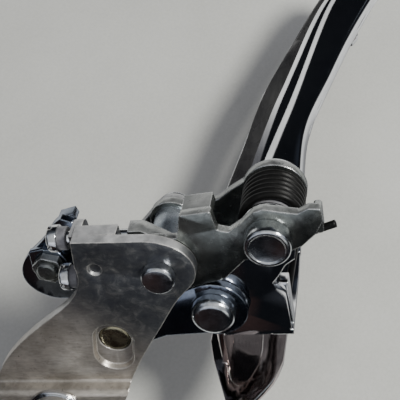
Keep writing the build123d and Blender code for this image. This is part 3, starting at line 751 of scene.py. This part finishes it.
def spring():
    """Wire of the return spring: both legs leave the coil along its tangent."""
    low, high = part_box("spring_sleeve")
    axis = (low + high) / 2
    first = math.atan2(HOOK_END.z, HOOK_END.y) - math.acos(COIL_R / HOOK_END.length)
    last = math.atan2(REST_END.z, REST_END.y) + math.acos(COIL_R / REST_END.length)
    sweep = (first - last) % (2 * math.pi) + 2 * math.pi * FULL_TURNS
    coil = []
    for i in range(COIL_STEPS + 1):
        t = i / COIL_STEPS
        a = first - sweep * t
        x = COIL_FRONT + (COIL_REAR - COIL_FRONT) * t
        coil.append(Vector((x, axis.y + COIL_R * math.cos(a), axis.z + COIL_R * math.sin(a))))
    hook = Vector((COIL_FRONT, axis.y + HOOK_END.y, axis.z + HOOK_END.z))
    rest = Vector((COIL_REAR, axis.y + REST_END.y, axis.z + REST_END.z))
    front_leg = [hook.lerp(coil[0], k / LEG_STEPS) for k in range(LEG_STEPS)]
    rear_leg = [coil[-1].lerp(rest, (k + 1) / LEG_STEPS) for k in range(LEG_STEPS)]
    verts, faces = tube(front_leg + coil + rear_leg, WIRE_R, WIRE_SIDES)
    ob = mesh_piece("return_spring_wire", verts, faces, black_wire)
    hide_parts("return_spring")
    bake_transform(ob)


spring()


# ---------------------------------------------------------------- formed tail of the inner cage plate
def smooth_line(points):
    """Function of x through a run of (x, value) points, as a smooth cubic curve."""
    points = sorted(points)

    def at(x):
        if x <= points[0][0]:
            return points[0][1]
        if x >= points[-1][0]:
            return points[-1][1]
        for i in range(len(points) - 1):
            (x1, v1), (x2, v2) = points[i], points[i + 1]
            if x1 <= x <= x2:
                x0, v0 = points[max(i - 1, 0)]
                x3, v3 = points[min(i + 2, len(points) - 1)]
                m1 = (v2 - v0) / max(x2 - x0, 1e-9)
                m2 = (v3 - v1) / max(x3 - x1, 1e-9)
                h = x2 - x1
                t = (x - x1) / h
                return (
                    (2 * t**3 - 3 * t**2 + 1) * v1
                    + (t**3 - 2 * t**2 + t) * h * m1
                    + (3 * t**2 - 2 * t**3) * v2
                    + (t**3 - t**2) * h * m2
                )
        return points[-1][1]

    return at


# All of these are in millimetres: x in the row frame, height from pin B's axis, outward from the plate's face.
TOE_FROM, TOE = -20.0, 0.2  # from this x rearward the plate leans inboard, by this much per unit of length
PLATE_Y = 12.9 + 0.6  # inboard face of the plate where the lean starts: its middle and half its thickness
BACK = -1.26  # the forming wraps round the plate to here
SKIN = 0.12  # and stands this far in front of it
TAIL_START, TAIL_STOP, TAIL_STEPS = -24.5, -108.4, 120
GROW_LENGTH, FADE_LENGTH = 11.0, 5.0  # the relief comes up behind the root and sinks to a quarter at the tip
# the rails are RAIL_END wide, and up to RAIL_EXTRA wider over the first RAIL_LENGTH
RAIL_END, RAIL_EXTRA, RAIL_LENGTH = 1.60, 1.45, 46.0
# upper and lower outline
TAIL_TOP = [
    (-19.5, 11.0),
    (-25.0, 14.6),
    (-33.0, 15.1),
    (-41.0, 14.3),
    (-51.0, 12.1),
    (-68.0, 8.5),
    (-83.0, 3.2),
    (-99.0, -3.0),
    (-106.0, -7.2),
    (-108.9, -11.4),
]
TAIL_LOW = [
    (-19.5, -1.5),
    (-44.0, -1.45),
    (-53.0, -1.7),
    (-60.0, -2.9),
    (-71.0, -6.4),
    (-84.0, -10.7),
    (-97.0, -15.9),
    (-102.0, -18.4),
    (-106.0, -19.6),
    (-108.9, -16.8),
]
# middle line of the shelf between the two bright rails, and half its height
SHELF = [
    (-26.0, 9.4),
    (-36.0, 8.6),
    (-47.0, 6.7),
    (-61.0, 3.6),
    (-75.0, 0.2),
    (-90.0, -3.6),
    (-98.0, -6.4),
    (-108.0, -11.5),
]
SHELF_HALF = [
    (-34.0, 0.0),
    (-44.0, 0.02),
    (-52.0, 0.35),
    (-64.0, 0.75),
    (-80.0, 0.55),
    (-98.0, 0.25),
    (-108.0, 0.1),
]
# points of a section between which the slope above the first rail lies; it is painted dark grey for its
# reflection of the shaded table
SLOPE_FIRST, SLOPE_LAST = 4, 8


def tail_section(top, low, shelf, half, rail, lift):
    """(outward, height) points round one section of the forming, from the back of its top edge."""
    first_rail = SKIN + (0.36 + 0.64 * rail) * lift
    return [
        (BACK, top - 0.8),
        (BACK, top - 0.05),
        (-0.90, top + 0.09),
        (-0.30, top + 0.10),
        (0.00, top - 0.04),
        (0.10, top - 0.45),
        (SKIN + 0.10 * lift, (top + shelf + 2 * rail + half) / 2),
        (SKIN + 0.22 * lift, shelf + 1.35 * rail + half),
        (SKIN + 0.30 * lift, shelf + 1.15 * rail + half),
        (SKIN + (0.30 + 0.62 * rail) * lift, shelf + 0.30 * rail + half),
        (first_rail, shelf + 0.12 + half),
        (first_rail, shelf - half),
        (SKIN + (0.42 + 0.64 * rail) * lift, shelf - 0.12 - half),
        (SKIN + (0.42 + 1.22 * rail) * lift, shelf - 0.85 * rail - half),
        (SKIN + (0.50 + 1.26 * rail) * lift, shelf - 1.15 * rail - half),
        (SKIN + (0.52 + 1.26 * rail) * lift, (shelf + low) / 2 - 0.3),
        (SKIN + (0.48 + 1.24 * rail) * lift, low + 0.75),
        (0.10 + (0.40 + 1.14 * rail) * lift, low + 0.35),
        (0.06 + (0.30 + 0.90 * rail) * lift, low + 0.06),
        (0.00 + (0.15 + 0.50 * rail) * lift, low - 0.08),
        (-0.60, low - 0.10),
        (BACK, low - 0.04),
        (BACK, low + 0.8),
    ]


def formed_tail():
    """Pressed shape of the inner cage plate's tail, closed round the flat plate of the CAD."""
    b_low, b_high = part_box("spring_sleeve")
    bz = (b_low.z + b_high.z) / 2 / MM
    top, low, shelf, half = (smooth_line(run) for run in (TAIL_TOP, TAIL_LOW, SHELF, SHELF_HALF))
    lean = 1.0 / math.sqrt(1 + TOE * TOE)
    verts, faces, rings = [], [], []
    for i in range(TAIL_STEPS + 1):
        x = TAIL_START + (TAIL_STOP - TAIL_START) * i / TAIL_STEPS
        grow = min(1.0, max(0.0, (TAIL_START - x) / GROW_LENGTH))
        grow = grow * grow * (3 - 2 * grow)
        fade = min(1.0, max(0.0, (x - TAIL_STOP) / FADE_LENGTH))
        lift = grow * (0.25 + 0.75 * fade)
        rail = RAIL_END + RAIL_EXTRA * max(0.0, 1.0 - (TAIL_START - x) / RAIL_LENGTH)
        y = PLATE_Y + TOE * (TOE_FROM - x)
        ring = []
        for out, z in tail_section(top(x), low(x), shelf(x), half(x), rail, lift):
            ring.append(len(verts))
            verts.append(Vector((x + out * TOE * lean, y + out * lean, bz + z)) * MM)
        rings.append(ring)
    m = len(rings[0])
    for a, b in zip(rings, rings[1:]):
        for k in range(m):
            faces.append((a[k], a[(k + 1) % m], b[(k + 1) % m], b[k]))
    faces.append(tuple(rings[0]))
    faces.append(tuple(reversed(rings[-1])))
    ob = mesh_piece("cage_tail_forming", verts, faces, chrome_tail)
    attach(ob, "cage")
    # the slope faces get the painted dark reflection
    ob.data.materials.append(slope_painted_reflection)
    for f in ob.data.polygons:
        if len(f.vertices) == 4:
            places = sorted(v % m for v in f.vertices)
            if places[0] >= SLOPE_FIRST and places[-1] <= SLOPE_LAST:
                f.material_index = 1
    ob.data.set_sharp_from_angle(angle=math.radians(50))


formed_tail()
